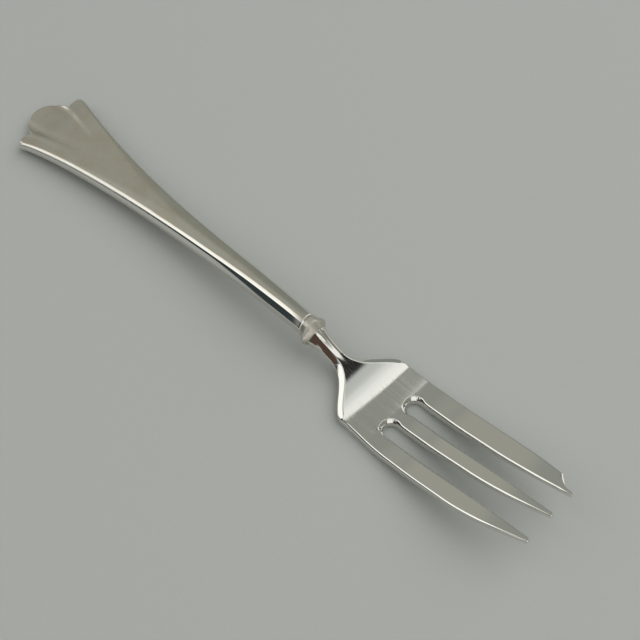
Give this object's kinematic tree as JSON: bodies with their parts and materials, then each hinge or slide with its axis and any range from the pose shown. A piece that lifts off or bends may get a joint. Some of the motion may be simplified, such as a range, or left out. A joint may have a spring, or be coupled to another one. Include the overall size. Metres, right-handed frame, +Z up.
{
  "type": "pastry fork",
  "caption": "Small fork for cake with a wide notched cutting tine, two slots, a slim collared neck and a filled handle that widens to a lobed fan.",
  "frame": {"origin": "on the table under the middle of the fork's length and width, as it lies at rest", "axes": "+X along the fork towards the tips of the tines, +Y towards the wide cutting tine, +Z up"},
  "size_m": [0.145, 0.019, 0.0091],
  "materials": {
    "silver_plate": "mirror-polished silver plate with fine use scratches",
    "filling_pitch": "hard dark brown handle cement"
  },
  "bodies": {
    "root": {"fork_head": "silver_plate", "shoulder_collar": "silver_plate", "handle_front_shell": "silver_plate", "handle_back_shell": "silver_plate", "handle_filling": "filling_pitch"}
  },
  "joints": []
}
